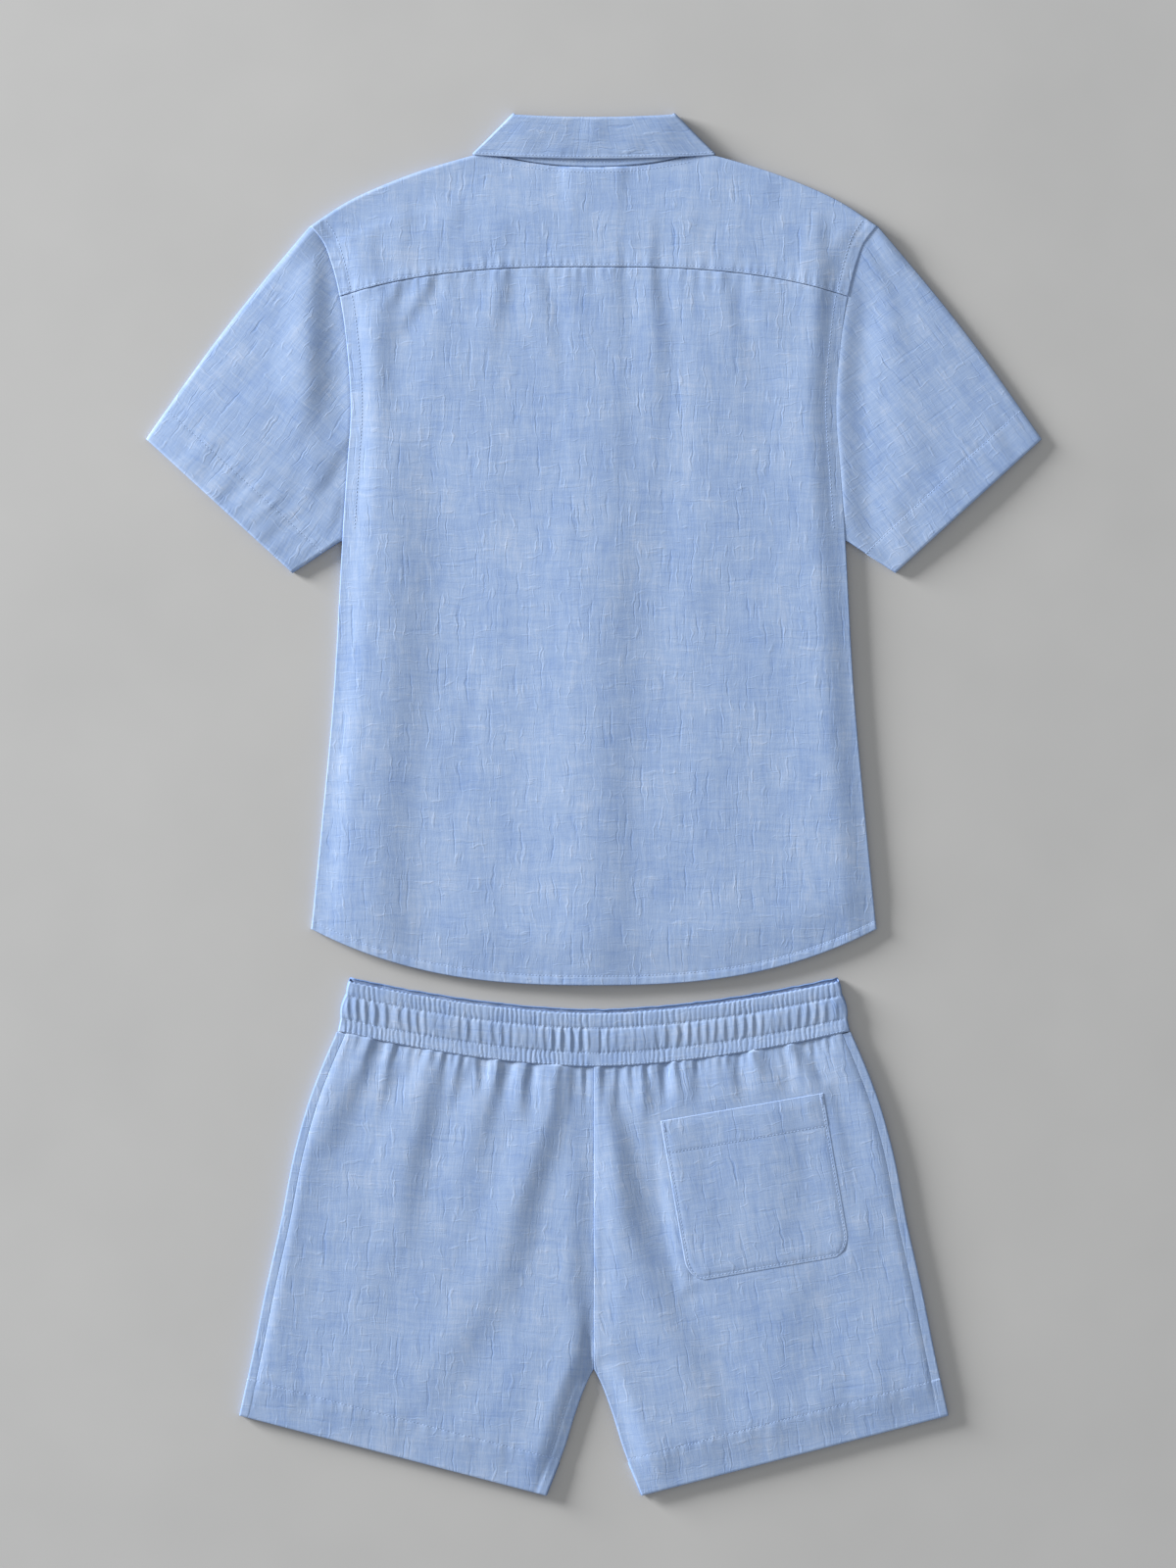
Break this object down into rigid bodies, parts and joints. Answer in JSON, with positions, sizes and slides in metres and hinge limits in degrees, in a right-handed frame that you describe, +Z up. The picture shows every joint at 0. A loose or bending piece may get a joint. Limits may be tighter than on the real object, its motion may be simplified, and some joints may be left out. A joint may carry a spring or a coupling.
{
  "type": "shirt and shorts set",
  "caption": "Pale blue chambray short-sleeved shirt and elastic-waist shorts with a back pocket, laid flat with their backs up.",
  "frame": {"origin": "middle of the laid-out set's bounding box, on the surface that it lies on", "axes": "+Y from the shorts' hems towards the shirt's collar, +X towards the wearer's right side, +Z up from the surface"},
  "size_m": [0.7632, 1.1783, 0.0074],
  "materials": {
    "shirt_cloth": "soft matte slub chambray",
    "shorts_cloth": "soft matte slub chambray",
    "button": "satin"
  },
  "bodies": {
    "root": {"shirt_back": "shirt_cloth", "shirt_yoke": "shirt_cloth", "shirt_front_left": "shirt_cloth", "shirt_front_right": "shirt_cloth", "shirt_placket": "shirt_cloth", "shirt_collar": "shirt_cloth", "shirt_collar_stand": "shirt_cloth", "shirt_sleeve_left": "shirt_cloth", "shirt_sleeve_right": "shirt_cloth", "shorts_back_left": "shorts_cloth", "shorts_back_right": "shorts_cloth", "shorts_front_left": "shorts_cloth", "shorts_front_right": "shorts_cloth", "shorts_waistband": "shorts_cloth", "shorts_back_pocket": "shorts_cloth", "shirt_button_1": "button", "shirt_button_2": "button", "shirt_button_3": "button", "shirt_button_4": "button", "shirt_button_5": "button", "shirt_button_6": "button", "shirt_button_7": "button"}
  },
  "joints": []
}
